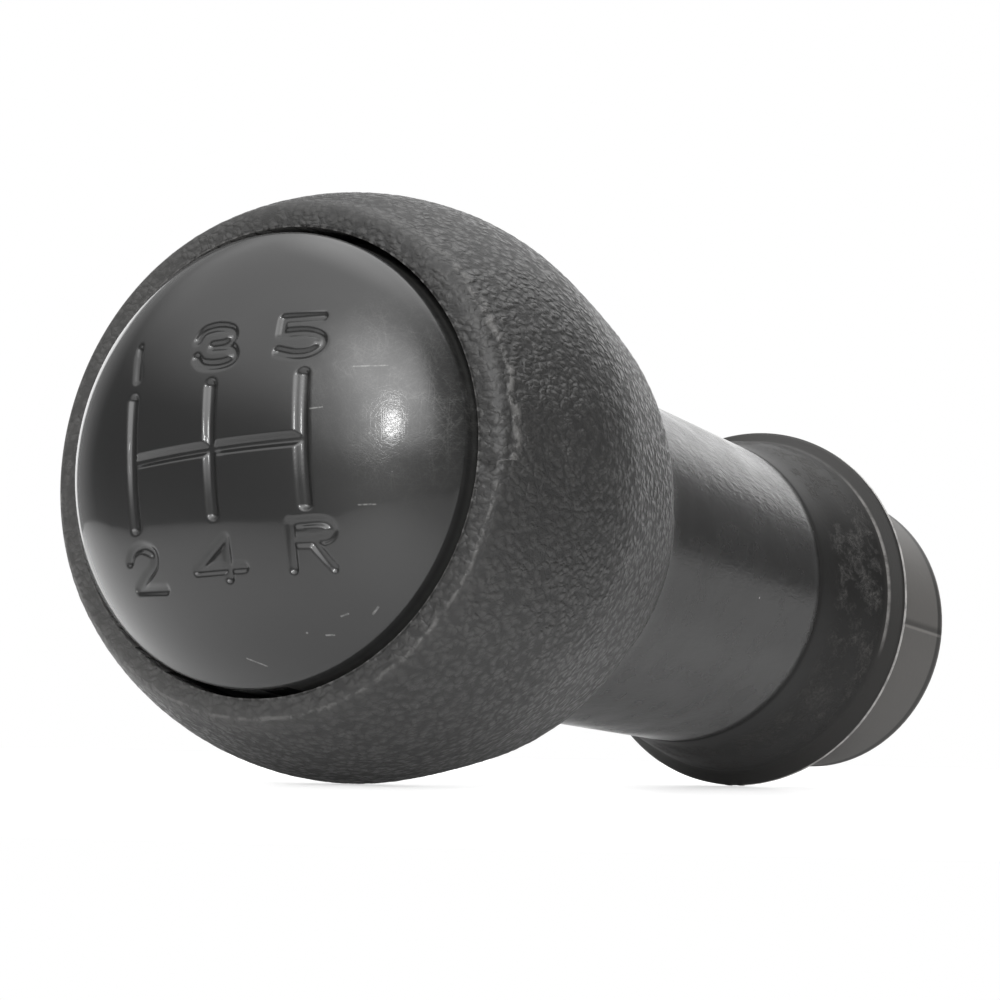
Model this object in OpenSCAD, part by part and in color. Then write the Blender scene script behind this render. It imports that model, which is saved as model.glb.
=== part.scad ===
// Push-on gear shift knob: ball head and neck in one soft moulding over a rigid core,
// a snap-in pattern cap on top and a flared gaiter collar below.
// The knob stands on the end of its tail, with the lever's axis along +Z.
// Its shift pattern reads with +X to the right and +Y upwards.

/* [Lengths along the lever] */
// Length of the tail that the gaiter is tied round
tail_len = 15; // [10:0.5:24]
// Length of the flared collar, from its lip to the neck
collar_len = 12.1; // [9:0.1:16]
// Length of the head and neck, from the collar to the cap's opening
grip_len = 70.7; // [66:0.1:90]

/* [Head] */
// Largest diameter of the ball
head_d = 50; // [46:0.5:56]
// Depth of the ball's crown below the cap's opening
crown_drop = 13.8; // [12:0.1:16]
// Radius of the ball's outline above its crown
top_arc_r = 29.3; // [24:0.1:36]
// Radius of the ball's outline just below its crown
side_arc_r = 22.8; // [18:0.1:28]
// Radius of the long flat flank further down
flank_arc_r = 160; // [80:5:300]
// Radius where the flank turns in towards the neck
waist_arc_r = 8; // [5:0.5:14]
// Slope of the outline where that flank begins, in degrees
flank_slope = 12.7; // [9:0.1:14]
// Length of the flank, along the lever
flank_len = 9.5; // [7:0.1:12]
// Rounding of the shoulder round the cap's opening
shoulder_r = 1.6; // [0.8:0.1:2.4]
// Slope of the narrow land between that shoulder and the opening, in degrees
land_slope = 10; // [4:1:16]
// Thickness of the soft cover on the ball's core
cover_t = 4.4; // [3:0.1:6]

/* [Neck] */
// Radius of the neck's lower end
neck_end_r = 14.2; // [13.6:0.1:15.5]
// Widening of the neck towards the head, in degrees
neck_taper = 2.8; // [1:0.1:4]
// Slope of the ball's foot where it meets the neck, in degrees
foot_slope = 29.3; // [24:0.1:34]
// Fillet between the ball's foot and the neck
foot_fillet = 1.5; // [0.6:0.1:3]

/* [Pattern cap] */
// Radius of the opening that the cap sits in
opening_r = 19.8; // [18.5:0.1:21]
// Gap all round the cap
cap_gap = 0.6; // [0.3:0.1:1]
// Height of the dome's top above the opening
cap_rise = 9.3; // [8:0.1:11]
// Radius of the dome's middle
dome_r = 34; // [30:0.5:40]
// Radius of the dome's rolled edge
dome_edge_r = 14; // [12:0.5:16]
// Distance from the axis at which the rolled edge begins
dome_turn = 12; // [9:0.5:13]
// Wall of the dome
cap_wall = 2.2; // [1.6:0.1:3]
// Wall of the skirt under the rim
skirt_wall = 1.8; // [1.4:0.1:2.6]
// Small rounding on the outer edge of the rim
rim_round = 0.5; // [0.2:0.1:0.8]
// Depth of the floor that the skirt stands on, below the opening
seat_depth = 6.8; // [6:0.1:8]
// Number of snap legs
leg_count = 4; // [3:1:4]
// Width of a snap leg
leg_w = 5; // [3:0.5:7]
// Thickness of a snap leg
leg_t = 2; // [1.4:0.1:2.6]
// Distance of the legs' inner faces from the axis
leg_r = 12; // [11.5:0.1:13]
// Reach of the snap hook beyond its leg
hook_reach = 1; // [0.6:0.1:1.4]
// Height of the snap hook
hook_h = 1.8; // [1.2:0.1:2.4]
// Length of the leg's slanted tip below its hook
leg_nose = 1; // [0.6:0.1:1.4]
// Width of the key that stops the cap from turning
key_w = 2.4; // [1.6:0.1:4]
// Height of that key
key_h = 3; // [2:0.1:4]

/* [Shift pattern] */
// Distance from gate to gate
gate_pitch = 8.3; // [7:0.1:8.4]
// Length of a gate's groove
gate_len = 10.6; // [8:0.1:11]
// Depth of the grooves
gate_depth = 0.3; // [0.2:0.02:0.5]
// Width of the grooves' floor
gate_w = 0.7; // [0.5:0.05:1.2]
// Distance of the pattern's middle from the lever's axis, to the left
pattern_left = 0.2; // [0:0.1:0.8]
// Distance of the pattern's middle below the lever's axis
pattern_drop = 0.5; // [0:0.1:0.8]

/* [Core] */
// Floor thickness of the dish under the cap
dish_floor = 2.4; // [1.8:0.1:3.2]
// Height of the dish's rim above its floor
dish_rim_h = 2.6; // [1.6:0.1:3.4]
// Wall of the dish's rim
dish_rim_t = 1.6; // [1:0.1:1.8]
// Wall of the pockets that close over the snap hooks
pocket_wall = 1.2; // [0.8:0.1:1.6]
// Wall of the barrel that holds the bush
barrel_wall = 2; // [1.5:0.1:2.6]
// Number of ribs round the barrel
rib_count = 8; // [4:4:8]
// Thickness of a rib
rib_t = 2; // [1.4:0.1:2.6]
// Thickness of the anchor disc at the ball's crown
anchor_t = 2; // [1.4:0.1:3]
// Radius of the flow holes through the anchor disc
flow_r = 2; // [1.2:0.1:2.4]
// Width of the ribs' lower ends beyond the barrel
rib_foot = 1; // [0.6:0.1:1.4]
// Thickness of the soft cover round the socket
neck_skin = 1.3; // [1.2:0.1:1.4]
// Wall of the socket that takes the collar's spigot
socket_wall = 1.5; // [1.2:0.1:1.6]
// Depth of the socket
socket_len = 13; // [12:0.1:18]
// Thickness of the web between socket and barrel
web_t = 2; // [1.5:0.1:3]

/* [Collar] */
// Length of the collar's smooth upper band
band_len = 3.1; // [2:0.1:4]
// Radius at the foot of that band
band_r = 14.42; // [14.3:0.01:15.5]
// Radius at the foot of the flared band
flare_r = 15.54; // [15:0.01:16.5]
// Height of the flared band's foot above the lip's underside
flare_up = 2.9; // [2.2:0.1:4]
// Swell of the flared band between its two ends
flare_swell = 0.1; // [0:0.02:0.2]
// Radius of the groove edge between the flared band and the lip
edge_r = 15.72; // [15.2:0.01:16.6]
// Height of that edge above the lip's underside
edge_up = 1.7; // [1.2:0.1:2]
// Radius of the lip
lip_r = 16.8; // [16:0.1:20]
// Thickness of the lip at its edge
lip_t = 0.5; // [0.3:0.1:1]
// Radius of the tail
tail_r = 13.2; // [12.4:0.1:14]
// Wall of the tail
tail_wall = 2; // [1.4:0.1:2.4]
// Rounding of the tail's outer end edge
tail_round = 0.8; // [0.4:0.1:1]
// Wall of the spigot that plugs into the socket
spigot_wall = 1.6; // [1.2:0.1:1.8]
// Clearance round the spigot
spigot_gap = 0.1; // [0.05:0.05:0.2]
// Length of the spigot
spigot_len = 9.4; // [9:0.1:10]
// Reach of the snap bead round the spigot
bead_reach = 0.6; // [0.4:0.1:0.8]
// Height of the bead's middle above the neck's end
bead_up = 7; // [6:0.1:7.4]
// Half the height of the bead
bead_half = 0.9; // [0.6:0.1:1.2]
// Share of the bead's half height that is left flat
bead_flat = 0.4; // [0.2:0.1:0.6]
// Depth that beads and keys reach into the wall they stand on
bite = 0.5; // [0.3:0.1:0.8]
// Number of the spigot's fingers
spigot_fingers = 4; // [3:1:6]
// Width of the slits between them
slit_w = 2; // [1:0.1:3]

/* [Lever bush and ring] */
// Radius of the bore that grips the lever
bore_r = 6; // [5:0.1:6.2]
// Wall of the bush
bush_wall = 1.6; // [1.4:0.1:2]
// Length of the bush inside the barrel
bush_len = 42; // [34:0.5:44]
// Length of the bush's fingers below the barrel
finger_len = 6.5; // [5.5:0.1:7]
// Thickness of the bush's flange
flange_t = 1.4; // [1:0.1:1.6]
// Reach of the flange beyond the bush
flange_reach = 1.6; // [1:0.1:1.8]
// Number of those fingers
bush_fingers = 4; // [3:1:6]
// Width of the slots between them
slot_w = 1.2; // [0.8:0.1:1.6]
// Height of the slots above the flange
slot_up = 4; // [2:0.5:8]
// Diameter of the ring's wire
wire_d = 1.2; // [0.8:0.1:1.4]
// Depth of the ring's groove in the fingers
groove_depth = 0.6; // [0.3:0.1:0.7]
// Opening of the ring, in degrees
ring_open = 40; // [20:5:60]

/* [Hidden] */
$fn = 96;
steps = 10;
fit_gap = 0.1;
over = 1;
// Turn that sets legs and slits between the keys
diagonal = 45;

// Heights of the joints between the pieces
neck_z = tail_len + collar_len;
opening_z = neck_z + grip_len;
crown_z = opening_z - crown_drop;
seat_z = opening_z - seat_depth;
dish_z = seat_z - dish_floor;
rim_top_z = seat_z + dish_rim_h;
socket_z = neck_z + socket_len;
barrel_z = socket_z - web_t;
bush_top_z = barrel_z + bush_len;
finger_z = barrel_z - finger_len;
spigot_z = neck_z + spigot_len;

// Radii of the pieces that fit inside one another
head_r = head_d / 2;
cap_r = opening_r - cap_gap;
skirt_r = cap_r - skirt_wall;
bush_r = bore_r + bush_wall;
barrel_r = bush_r + barrel_wall;
socket_r = neck_end_r - neck_skin;
socket_bore_r = socket_r - socket_wall;
spigot_r = socket_bore_r - spigot_gap;
spigot_bore_r = spigot_r - spigot_wall;
tail_bore_r = tail_r - tail_wall;
dish_r = opening_r + dish_rim_t;

// Points along an arc about c, its angles measured from straight outwards towards the top
function arc(c, r, from, to, n = steps) =
    [for (i = [0:n]) c + r * [cos(from + (to - from) * i / n), sin(from + (to - from) * i / n)]];
function outward(a) = [cos(a), sin(a)];
function cross2(a, b) = a[0] * b[1] - a[1] * b[0];
// Where the line through p along d meets the line through q along e
function meet(p, d, q, e) = p + d * cross2(q - p, e) / cross2(d, e);

// Outline of head and neck
top_c = [head_r - top_arc_r, crown_z];
side_c = [head_r - side_arc_r, crown_z];
flank_c = side_c + (side_arc_r - flank_arc_r) * outward(-flank_slope);
waist_turn = asin(sin(flank_slope) + flank_len / flank_arc_r);
waist_c = flank_c + (flank_arc_r - waist_arc_r) * outward(-waist_turn);
waist_end = waist_c + waist_arc_r * outward(-foot_slope);
foot_dir = [-sin(foot_slope), -cos(foot_slope)];
neck_dir = [-sin(neck_taper), -cos(neck_taper)];
neck_end = [neck_end_r, neck_z];
foot_c = meet(waist_end + foot_fillet * outward(-foot_slope), foot_dir,
              neck_end + foot_fillet * outward(-neck_taper), neck_dir);

// Centre of the shoulder's rounding, which touches both the land and the ball
land_dir = [cos(land_slope), -sin(land_slope)];
land_start = [opening_r, opening_z];
shoulder_start = land_start - shoulder_r * outward(90 - land_slope);
to_top = shoulder_start - top_c;
along = to_top * land_dir;
reach = top_arc_r - shoulder_r;
shoulder_c = shoulder_start + land_dir * (sqrt(along * along - to_top * to_top + reach * reach) - along);
shoulder_end = atan2(shoulder_c[1] - top_c[1], shoulder_c[0] - top_c[0]);

grip_outline = concat(
    [land_start],
    arc(shoulder_c, shoulder_r, 90 - land_slope, shoulder_end),
    arc(top_c, top_arc_r, shoulder_end, 0),
    arc(side_c, side_arc_r, 0, -flank_slope, 5),
    arc(flank_c, flank_arc_r, -flank_slope, -waist_turn, 4),
    arc(waist_c, waist_arc_r, -waist_turn, -foot_slope, 4),
    arc(foot_c, foot_fillet, 180 - foot_slope, 180 - neck_taper, 5),
    [neck_end]
);

// Outline of the pattern cap's dome, from its top down to the rim
dome_c = [0, opening_z + cap_rise - dome_r];
turn_a = asin(dome_turn / dome_r);
edge_c = dome_c + (dome_r - dome_edge_r) * outward(90 - turn_a);
rim_a = asin((cap_r - rim_round - edge_c[0]) / (dome_edge_r - rim_round));
rim_c = edge_c + (dome_edge_r - rim_round) * outward(90 - rim_a);
skirt_a = asin((skirt_r - edge_c[0]) / (dome_edge_r - cap_wall));
function dome_arcs(inset, last_a) = concat(
    arc(dome_c, dome_r - inset, 90, 90 - turn_a, 6),
    arc(edge_c, dome_edge_r - inset, 90 - turn_a, 90 - last_a, 8)
);

module ring_shape(outer, inner, low, high) {
    translate([0, 0, low])
        difference() {
            cylinder(h = high - low, r = outer);
            translate([0, 0, -over]) cylinder(h = high - low + 2 * over, r = inner);
        }
}

// One block from the axis outwards, repeated evenly round it
module spokes(count, from, to, w, low, high, turn = 0) {
    for (i = [0:count - 1])
        rotate([0, 0, turn + i * 360 / count])
            translate([from, -w / 2, low]) cube([to - from, w, high - low]);
}

hook_z = dish_z - fit_gap;
leg_tip_z = hook_z - hook_h - leg_nose;

module snap_leg() {
    translate([0, leg_w / 2, 0])
        rotate([90, 0, 0])
            linear_extrude(leg_w)
                polygon([
                    [leg_r, opening_z + cap_rise],
                    [leg_r + leg_t, opening_z + cap_rise],
                    [leg_r + leg_t, hook_z],
                    [leg_r + leg_t + hook_reach, hook_z],
                    [leg_r + leg_t + hook_reach, hook_z - hook_h / 2],
                    [leg_r + leg_t - hook_reach / 2, leg_tip_z],
                    [leg_r, leg_tip_z]
                ]);
}

module pattern_cap() {
    color([0.1, 0.1, 0.1])
        difference() {
            union() {
                rotate_extrude()
                    polygon(concat(
                        dome_arcs(0, rim_a),
                        arc(rim_c, rim_round, 90 - rim_a, 0, 3),
                        [[cap_r, seat_z], [skirt_r, seat_z]],
                        reversed(dome_arcs(cap_wall, skirt_a))
                    ));
                // The legs end inside the dome's wall
                intersection() {
                    for (i = [0:leg_count - 1])
                        rotate([0, 0, diagonal + i * 360 / leg_count]) snap_leg();
                    rotate_extrude()
                        polygon(concat(
                            dome_arcs(cap_wall / 2, skirt_a),
                            [[skirt_r, leg_tip_z - over], [0, leg_tip_z - over]]
                        ));
                }
            }
            cap_key(key_w + 2 * fit_gap, key_h + 2 * fit_gap);
            shift_gates();
        }
}

// Three gates and the groove across them, sunk evenly below the dome
module shift_gates() {
    translate([-pattern_left, -pattern_drop, dome_c[1]])
        difference() {
            union() {
                for (i = [-1:1])
                    translate([i * gate_pitch - gate_w / 2, -gate_len / 2, dome_r / 2])
                        cube([gate_w, gate_len, dome_r]);
                translate([-gate_pitch, -gate_w / 2, dome_r / 2]) cube([2 * gate_pitch, gate_w, dome_r]);
            }
            translate([pattern_left, pattern_drop, 0]) sphere(r = dome_r - gate_depth);
        }
}

function reversed(list) = [for (i = [len(list) - 1:-1:0]) list[i]];

// The key stands on the dish's floor and a notch in the skirt drops over it
module cap_key(w, h) {
    rotate([0, 0, -90])
        translate([skirt_r - fit_gap, -w / 2, seat_z])
            cube([opening_r - skirt_r + 2 * fit_gap, w, h]);
}

rib_outline = [
    [0, dish_z],
    [head_r - cover_t, dish_z],
    [head_r - cover_t, crown_z],
    [waist_end[0] - cover_t, waist_end[1]],
    [barrel_r + rib_foot, foot_c[1]],
    [0, foot_c[1]]
];

pocket_in = leg_r - hook_reach - 2 * fit_gap;
pocket_out = leg_r + leg_t + hook_reach + 2 * fit_gap;
pocket_w = leg_w + 4 * fit_gap;
pocket_z = leg_tip_z - 2 * fit_gap;

// Everything of the core that the soft cover closes round
module core_envelope() {
    translate([0, 0, dish_z]) cylinder(h = rim_top_z - dish_z, r = dish_r);
    translate([0, 0, barrel_z]) cylinder(h = dish_z - barrel_z, r = barrel_r);
    translate([0, 0, neck_z]) cylinder(h = socket_z - neck_z, r = socket_r);
    intersection() {
        spokes(rib_count, 0, head_r, rib_t, foot_c[1], dish_z);
        rotate_extrude() polygon(rib_outline);
    }
    anchor_disc();
    spokes(leg_count, pocket_in - pocket_wall, pocket_out + pocket_wall, pocket_w + 2 * pocket_wall,
           pocket_z - pocket_wall, dish_z, diagonal);
}

module anchor_disc() {
    flow_at = (barrel_r + head_r - cover_t) / 2;
    difference() {
        translate([0, 0, crown_z - anchor_t]) cylinder(h = anchor_t, r = head_r - cover_t);
        for (i = [0:rib_count - 1])
            rotate([0, 0, (i + 0.5) * 360 / rib_count])
                translate([flow_at, 0, crown_z - anchor_t - over])
                    cylinder(h = anchor_t + 2 * over, r = flow_r);
    }
}

module core_insert() {
    color([0.2, 0.2, 0.2])
        difference() {
            core_envelope();
            // The dish
            translate([0, 0, seat_z]) cylinder(h = rim_top_z - seat_z + over, r = opening_r);
            // The snap pockets
            spokes(leg_count, pocket_in, pocket_out, pocket_w, pocket_z, dish_z, diagonal);
            spokes(leg_count, pocket_in, leg_r + leg_t + fit_gap, pocket_w,
                   dish_z - over, seat_z + over, diagonal);
            // The barrel's bore and the socket
            translate([0, 0, barrel_z - over]) cylinder(h = bush_len + over, r = bush_r);
            translate([0, 0, neck_z - over]) cylinder(h = barrel_z - neck_z + over, r = socket_bore_r);
            snap_ring(bead_reach + spigot_gap, fit_gap);
            socket_key(fit_gap);
        }
    color([0.2, 0.2, 0.2]) cap_key(key_w, key_h);
}

// The rounded bead of the spigot, or with more reach and a gap the groove that it snaps into
module snap_ring(beyond, gap) {
    half = bead_half + gap;
    low = neck_z + bead_up - half;
    rotate_extrude()
        polygon([
            [spigot_bore_r + bite, low],
            [spigot_r, low],
            [spigot_r + beyond, low + half * (1 - bead_flat)],
            [spigot_r + beyond, low + half * (1 + bead_flat)],
            [spigot_r, low + half * 2],
            [spigot_bore_r + bite, low + half * 2]
        ]);
}

// The key on the spigot's foot that lines the collar up with the grip
module socket_key(gap) {
    rotate([0, 0, -90])
        translate([spigot_r - bite, -key_w / 2 - gap, neck_z - over])
            cube([bite + spigot_gap + bead_reach + gap, key_w + 2 * gap, key_h + over + gap]);
}

module grip_cover() {
    color([0.24, 0.24, 0.24])
        difference() {
            rotate_extrude() polygon(concat([[0, opening_z]], grip_outline, [[0, neck_z]]));
            core_envelope();
            translate([0, 0, rim_top_z - over]) cylinder(h = seat_depth + over, r = opening_r);
        }
}

band_z = neck_z - band_len;
flare_z = tail_len + flare_up;
edge_z = tail_len + edge_up;

module gaiter_collar() {
    color([0.2, 0.2, 0.2]) {
        difference() {
            union() {
                rotate_extrude()
                    polygon(concat(
                        [
                            [spigot_bore_r, neck_z],
                            [neck_end_r, neck_z],
                            [band_r, band_z],
                            [(band_r + flare_r) / 2 + flare_swell, (band_z + flare_z) / 2],
                            [flare_r, flare_z],
                            [edge_r, edge_z],
                            [lip_r, tail_len + lip_t],
                            [lip_r, tail_len],
                            [tail_r, tail_len]
                        ],
                        arc([tail_r - tail_round, tail_round], tail_round, 0, -90, 5),
                        [
                            [tail_bore_r, 0],
                            [tail_bore_r, tail_len],
                            [spigot_bore_r, tail_len + (tail_bore_r - spigot_bore_r)]
                        ]
                    ));
                ring_shape(spigot_r, spigot_bore_r, neck_z - over, spigot_z);
                snap_ring(bead_reach, 0);
            }
            // Slits that let the snap bead spring in
            spokes(spigot_fingers, 0, socket_r, slit_w,
                   neck_z + key_h + 2 * fit_gap, spigot_z + over, diagonal);
        }
        intersection() {
            socket_key(0);
            ring_shape(socket_r, spigot_r - bite + fit_gap, neck_z - over / 2, neck_z + key_h);
        }
    }
}

ring_r = bush_r - groove_depth + wire_d / 2;
ring_z = (finger_z + barrel_z - flange_t) / 2;

module lever_bush() {
    color([0.85, 0.85, 0.8])
        difference() {
            union() {
                translate([0, 0, finger_z]) cylinder(h = bush_top_z - finger_z, r = bush_r);
                translate([0, 0, barrel_z - flange_t]) cylinder(h = flange_t, r = bush_r + flange_reach);
            }
            translate([0, 0, finger_z - over]) cylinder(h = bush_top_z - finger_z + 2 * over, r = bore_r);
            ring_shape(bush_r + over, bush_r - groove_depth, ring_z - wire_d / 2, ring_z + wire_d / 2);
            spokes(bush_fingers, 0, 2 * bush_r, slot_w, finger_z - over, barrel_z + slot_up);
        }
}

module spring_ring() {
    color([0.6, 0.6, 0.62])
        translate([0, 0, ring_z])
            rotate([0, 0, ring_open / 2])
                rotate_extrude(angle = 360 - ring_open)
                    translate([ring_r, 0]) circle(d = wire_d, $fn = 24);
}

pattern_cap();
grip_cover();
core_insert();
gaiter_collar();
lever_bush();
spring_ring();
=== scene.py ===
# %% [markdown]
# A gear shift knob, dressed for its portrait.
# The knob is a soft black moulding over a hidden core, with a glossy cap let into its top and a flared
# collar plugged into its neck. The construction comes ready made, as the frame. This notebook adds what
# the eye sees: leather-like grain, the pressed shift pattern, mould marks, dust, gloss and light.

# %% The frame
import math

import bpy
import numpy as np
from mathutils import Matrix, Vector, noise


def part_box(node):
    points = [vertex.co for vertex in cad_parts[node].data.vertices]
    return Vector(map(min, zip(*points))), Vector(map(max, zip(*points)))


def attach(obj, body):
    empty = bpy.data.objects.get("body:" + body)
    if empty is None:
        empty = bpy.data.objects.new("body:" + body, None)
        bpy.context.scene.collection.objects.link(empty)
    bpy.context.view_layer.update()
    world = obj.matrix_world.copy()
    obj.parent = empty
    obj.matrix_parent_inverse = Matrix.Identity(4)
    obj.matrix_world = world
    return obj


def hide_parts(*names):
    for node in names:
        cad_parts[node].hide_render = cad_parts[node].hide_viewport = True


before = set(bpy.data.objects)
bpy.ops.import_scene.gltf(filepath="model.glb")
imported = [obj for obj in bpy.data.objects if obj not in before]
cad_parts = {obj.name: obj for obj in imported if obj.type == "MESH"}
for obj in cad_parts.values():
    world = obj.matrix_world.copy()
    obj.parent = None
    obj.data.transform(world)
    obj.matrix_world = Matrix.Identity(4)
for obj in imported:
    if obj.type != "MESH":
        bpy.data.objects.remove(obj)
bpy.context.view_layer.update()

print("pieces in the frame:", ", ".join(sorted(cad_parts)))

# %% [markdown]
# The camera comes first, because every later choice is judged through it.
# The photograph was taken with a long lens, about half a metre from the cap, looking from some
# 32 degrees off the lever's axis. The knob lies on its side there. It could be laid down here
# too, but it keeps its own upright frame, so the camera is the one that is turned.

# %% Camera
MM = 0.001
CAMERA_PLACE = Vector((261.9, -103.4, 506.6)) * MM
LOOK = Vector((-0.49617, 0.20135, -0.84455))
UP = Vector((0.12024, 0.97930, 0.16283))
RIGHT = LOOK.cross(UP)
FILM_WIDTH, FOCAL_LENGTH = 36, 216
NEAREST, FARTHEST = 0.05, 20

camera_data = bpy.data.cameras.new("photo_camera")
camera_data.sensor_width = FILM_WIDTH
camera_data.lens = FOCAL_LENGTH
camera_data.clip_start = NEAREST
camera_data.clip_end = FARTHEST
camera = bpy.data.objects.new("photo_camera", camera_data)
bpy.context.scene.collection.objects.link(camera)
turn = Matrix((RIGHT, UP, -LOOK)).transposed().to_4x4()
camera.matrix_world = Matrix.Translation(CAMERA_PLACE) @ turn
bpy.context.scene.camera = camera
bpy.context.scene.view_settings.view_transform = "Standard"
print("camera distance, m:", round(CAMERA_PLACE.length, 3))

# %% [markdown]
# Every visible skin of the knob is round, because the moulds of such a knob are turned.
# Its outline could be drawn again by hand, but it would drift away from the construction. It is read from
# the frame instead. A point belongs to the outside when one of its faces leans away from the lever's axis,
# which tells the skin from the bores and sockets inside.

# %% Points and how they lean
def points_of(obj):
    flat = np.empty(len(obj.data.vertices) * 3)
    obj.data.vertices.foreach_get("co", flat)
    return flat.reshape(-1, 3)


def leaning_out(mesh):
    """For each point, how far the most outward of its faces leans away from the axis, from -1 to 1."""
    best = np.full(len(mesh.vertices), -1.0)
    for face in mesh.polygons:
        centre, normal = face.center, face.normal
        lean = (normal.x * centre.x + normal.y * centre.y) / max(math.hypot(centre.x, centre.y), 1e-9)
        for i in face.vertices:
            best[i] = max(best[i], lean)
    return best


cover_lean = leaning_out(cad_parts["grip_cover"].data)
print("points of the cover:", len(cover_lean), "of which lean outwards:", int((cover_lean > 0).sum()))

# %% [markdown]
# The skin is kept as rings, as a lathe tool would have left them.
# At each height only the outermost point counts, and a ring that falls in steeply belongs to an inner wall.
# Rings on a straight run tell nothing and are left out. Where the skin is known to bulge everywhere, as on
# the cap, a ring inside the others is the bottom of a groove, and goes too.

# %% Rings of a skin
LEAST_LEAN = 0.004
HEIGHT_SLACK = 0.01
STEP_IN = 0.3
STEEPEST = 1.3
BULGE = 0.003


def bend(a, b, c):
    """How far b lies from the line through a and c, negative where the outline bulges out to b."""
    return ((b[0] - a[0]) * (c[1] - a[1]) - (b[1] - a[1]) * (c[0] - a[0])) / math.dist(a, c)


def skin_rings(node, low, high, bulging=False):
    """The (radius, height) rings on the outside of a piece between two heights in mm, top first."""
    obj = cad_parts[node]
    p = points_of(obj) / MM
    out = leaning_out(obj.data) > LEAST_LEAN
    r, z = np.hypot(p[:, 0], p[:, 1])[out], np.round(p[:, 2], 3)[out]
    rings = []
    for h in np.unique(z)[::-1]:
        if not low - HEIGHT_SLACK < h < high + HEIGHT_SLACK:
            continue
        ring = (float(r[z == h].max()), float(h))
        if rings and ring[0] <= rings[-1][0] - STEP_IN - STEEPEST * (rings[-1][1] - h):
            continue
        while bulging and len(rings) > 1 and bend(rings[-2], rings[-1], ring) > -BULGE:
            rings.pop()
        rings.append(ring)
    return [ring for i, ring in enumerate(rings)
            if i in (0, len(rings) - 1) or abs(bend(rings[i - 1], ring, rings[i + 1])) > BULGE]


grip_low, grip_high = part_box("grip_cover")[0].z / MM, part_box("grip_cover")[1].z / MM
grip_rings = skin_rings("grip_cover", grip_low, grip_high)
print("grip outline rings:", len(grip_rings))

# %% [markdown]
# The frame's rings are some millimetres apart, and would show as flats under a soft light.
# A subdivision surface would round them, but would also round the true corners and shrink the piece. So a
# cubic is run through the rings, and it breaks wherever the outline turns by a real corner.

# %% A fine outline through the rings
CORNER = 14


def resample(rings, step, sink=0.0):
    """A fine outline through the rings: rounded by a cubic, but with its corners kept, and sunk inwards."""
    p = np.array(rings)
    way = np.diff(p, axis=0)
    heading = np.unwrap(np.arctan2(way[:, 1], way[:, 0]))
    breaks = [0]
    breaks += [i + 1 for i in range(len(heading) - 1)
               if abs(math.degrees(heading[i + 1] - heading[i])) > CORNER]
    breaks += [len(p) - 1]
    fine = [p[0]]
    for start, end in zip(breaks[:-1], breaks[1:]):
        run = p[start:end + 1]
        length = np.concatenate([[0], np.cumsum(np.hypot(*np.diff(run, axis=0).T))])
        if len(run) > 2:
            slope = np.gradient(run, length, axis=0)
        else:
            slope = np.repeat([run[1] - run[0]], 2, 0) / length[-1]
        count = max(1, round(length[-1] / step))
        for s in np.linspace(0, length[-1], count + 1)[1:]:
            i = min(np.searchsorted(length, s, side="right") - 1, len(run) - 2)
            h = length[i + 1] - length[i]
            t = (s - length[i]) / h
            fine.append((2 * t**3 - 3 * t**2 + 1) * run[i] + (t**3 - 2 * t**2 + t) * h * slope[i]
                        + (3 * t**2 - 2 * t**3) * run[i + 1] + (t**3 - t**2) * h * slope[i + 1])
    fine = np.array(fine)
    along = np.gradient(fine, axis=0)
    along /= np.linalg.norm(along, axis=1)[:, None]
    outwards = np.stack([-along[:, 1], along[:, 0]], axis=1)
    return fine - sink * outwards


print("fine rings on the grip at 1 mm:", len(resample(grip_rings, 1.0)))

# %% [markdown]
# A blank is what a lathe makes of an outline: a closed body of revolution.
# Blender has a screw modifier for that. The points are set one by one here instead, because each of them may
# first be carved: moved in or out a little, for the grain or a mark of the mould.

# %% Turning an outline into a blank
def mesh_object(name, points, faces):
    """A new object from points in metres and lists of corner numbers."""
    mesh = bpy.data.meshes.new(name)
    mesh.from_pydata([tuple(p) for p in points], [], faces)
    mesh.update()
    made = bpy.data.objects.new(name, mesh)
    bpy.context.scene.collection.objects.link(made)
    return made


def turned(name, outline, columns, carve):
    """A closed blank: the outline, in mm and top first, run round the axis and capped at both ends.

    carve takes the angles, radii and heights of all the points and gives back new radii and heights."""
    angle = np.tile(np.arange(columns) * 2 * math.pi / columns, len(outline))
    r, z = np.repeat(np.array(outline), columns, axis=0).T
    r, z = carve(angle, r, z)
    points = np.column_stack([r * np.cos(angle), r * np.sin(angle), z])
    points = np.vstack([[0, 0, outline[0][1]], points, [0, 0, outline[-1][1]]])
    faces = []
    for k in range(columns):
        nxt = (k + 1) % columns
        faces.append((0, 1 + k, 1 + nxt))
        for row in range(len(outline) - 1):
            a = 1 + row * columns
            faces.append((a + k, a + columns + k, a + columns + nxt, a + nxt))
        last = 1 + (len(outline) - 1) * columns
        faces.append((len(points) - 1, last + nxt, last + k))
    print(name, "blank:", len(outline), "rings of", columns, "points")
    return mesh_object(name, points * MM, faces)


# %% [markdown]
# A blank has the right skin but no inside. The piece of the frame has the right inside, such as snap legs,
# sockets and bores. Where the two overlap is the dressed piece: the fine skin outside and the real
# construction inside, still one closed solid. The blank's skin lies a few hundredths of a millimetre
# under the frame's, so that only one of the two is ever cut. The cut is made with the piece a thousand
# times its size, where the solver's rounding is too small to matter.

# %% Dressing a piece of the frame
SINK = 0.05
WELD = 0.0005
SHARP_EDGE = math.radians(38)


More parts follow.
